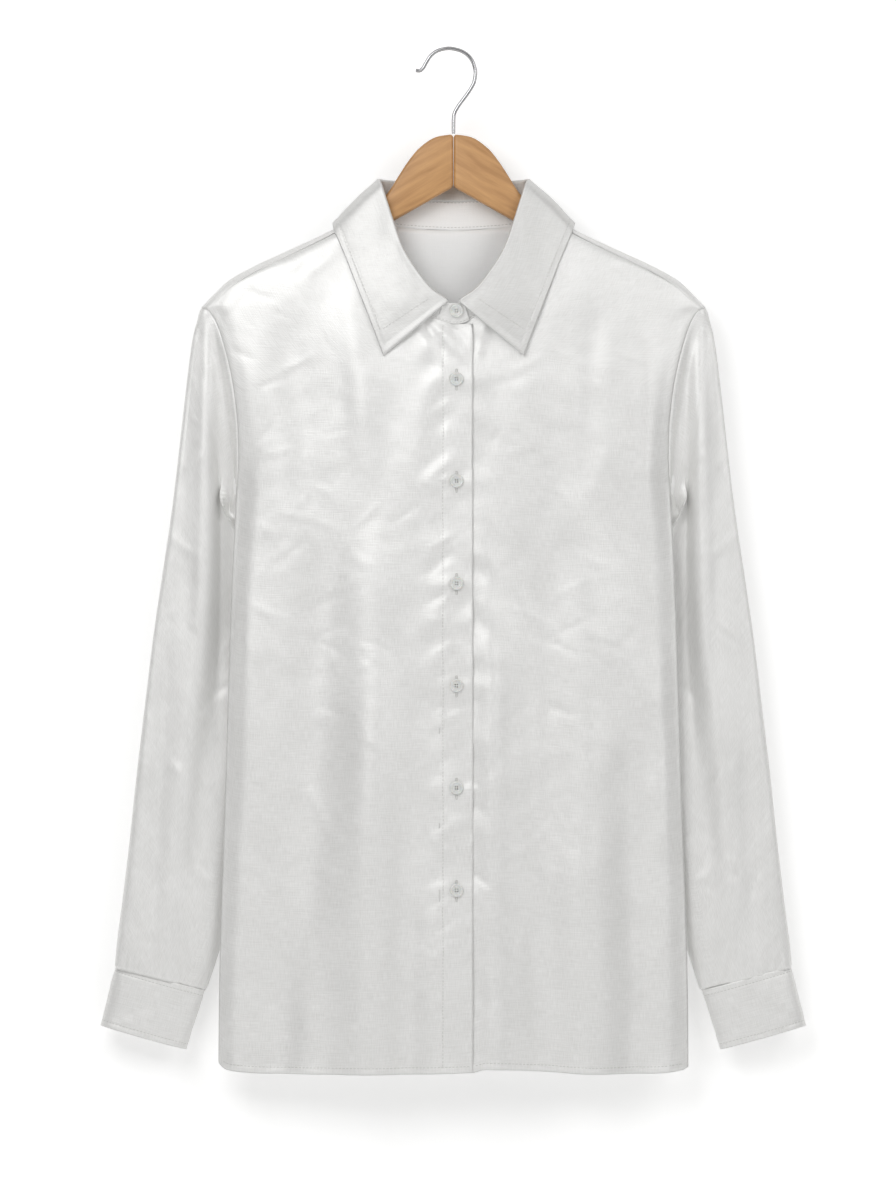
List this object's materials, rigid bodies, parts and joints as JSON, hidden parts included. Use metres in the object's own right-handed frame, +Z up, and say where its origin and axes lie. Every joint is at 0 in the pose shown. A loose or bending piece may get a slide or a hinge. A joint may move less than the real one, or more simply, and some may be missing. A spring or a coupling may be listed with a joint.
{
  "type": "satin shirt on a wooden hanger",
  "caption": "White long-sleeved satin shirt with a pointed collar and barrel cuffs, buttoned up and hung on a flat wooden hanger with a wire hook",
  "frame": {"origin": "the inside of the hook's top, where it rests on a rail", "axes": "+X to the wearer's left, +Y towards the back of the shirt, +Z up"},
  "size_m": [0.583, 0.0625, 0.8452],
  "materials": {
    "satin_back": "white satin, glossy outside and matt inside",
    "satin_yoke": "white satin, glossy outside and matt inside",
    "satin_front_right": "white satin, glossy outside and matt inside",
    "satin_front_left": "white satin, glossy outside and matt inside",
    "satin_sleeve_right": "white satin, glossy outside and matt inside",
    "satin_sleeve_left": "white satin, glossy outside and matt inside",
    "satin_cuff_right": "white satin, glossy outside and matt inside",
    "satin_cuff_left": "white satin, glossy outside and matt inside",
    "satin_collar_stand": "white satin, glossy outside and matt inside",
    "satin_collar_fall": "white satin, glossy outside and matt inside",
    "button_collar": "polished, pearly",
    "button_front_1": "polished, pearly",
    "button_front_2": "polished, pearly",
    "button_front_3": "polished, pearly",
    "button_front_4": "polished, pearly",
    "button_front_5": "polished, pearly",
    "button_front_6": "polished, pearly",
    "button_right_cuff": "polished, pearly",
    "button_left_cuff": "polished, pearly",
    "hanger_arm_right": "clear satin lacquer",
    "hanger_arm_left": "clear satin lacquer",
    "hanger_hook": "bright plated wire"
  },
  "bodies": {
    "root": {"back": "satin_back", "yoke": "satin_yoke", "front_right": "satin_front_right", "front_left": "satin_front_left", "sleeve_right": "satin_sleeve_right", "sleeve_left": "satin_sleeve_left", "cuff_right": "satin_cuff_right", "cuff_left": "satin_cuff_left", "collar_stand": "satin_collar_stand", "collar_fall": "satin_collar_fall", "button_collar": "button_collar", "button_front_1": "button_front_1", "button_front_2": "button_front_2", "button_front_3": "button_front_3", "button_front_4": "button_front_4", "button_front_5": "button_front_5", "button_front_6": "button_front_6", "button_right_cuff": "button_right_cuff", "button_left_cuff": "button_left_cuff", "hanger_arm_right": "hanger_arm_right", "hanger_arm_left": "hanger_arm_left", "hanger_hook": "hanger_hook"}
  },
  "joints": []
}
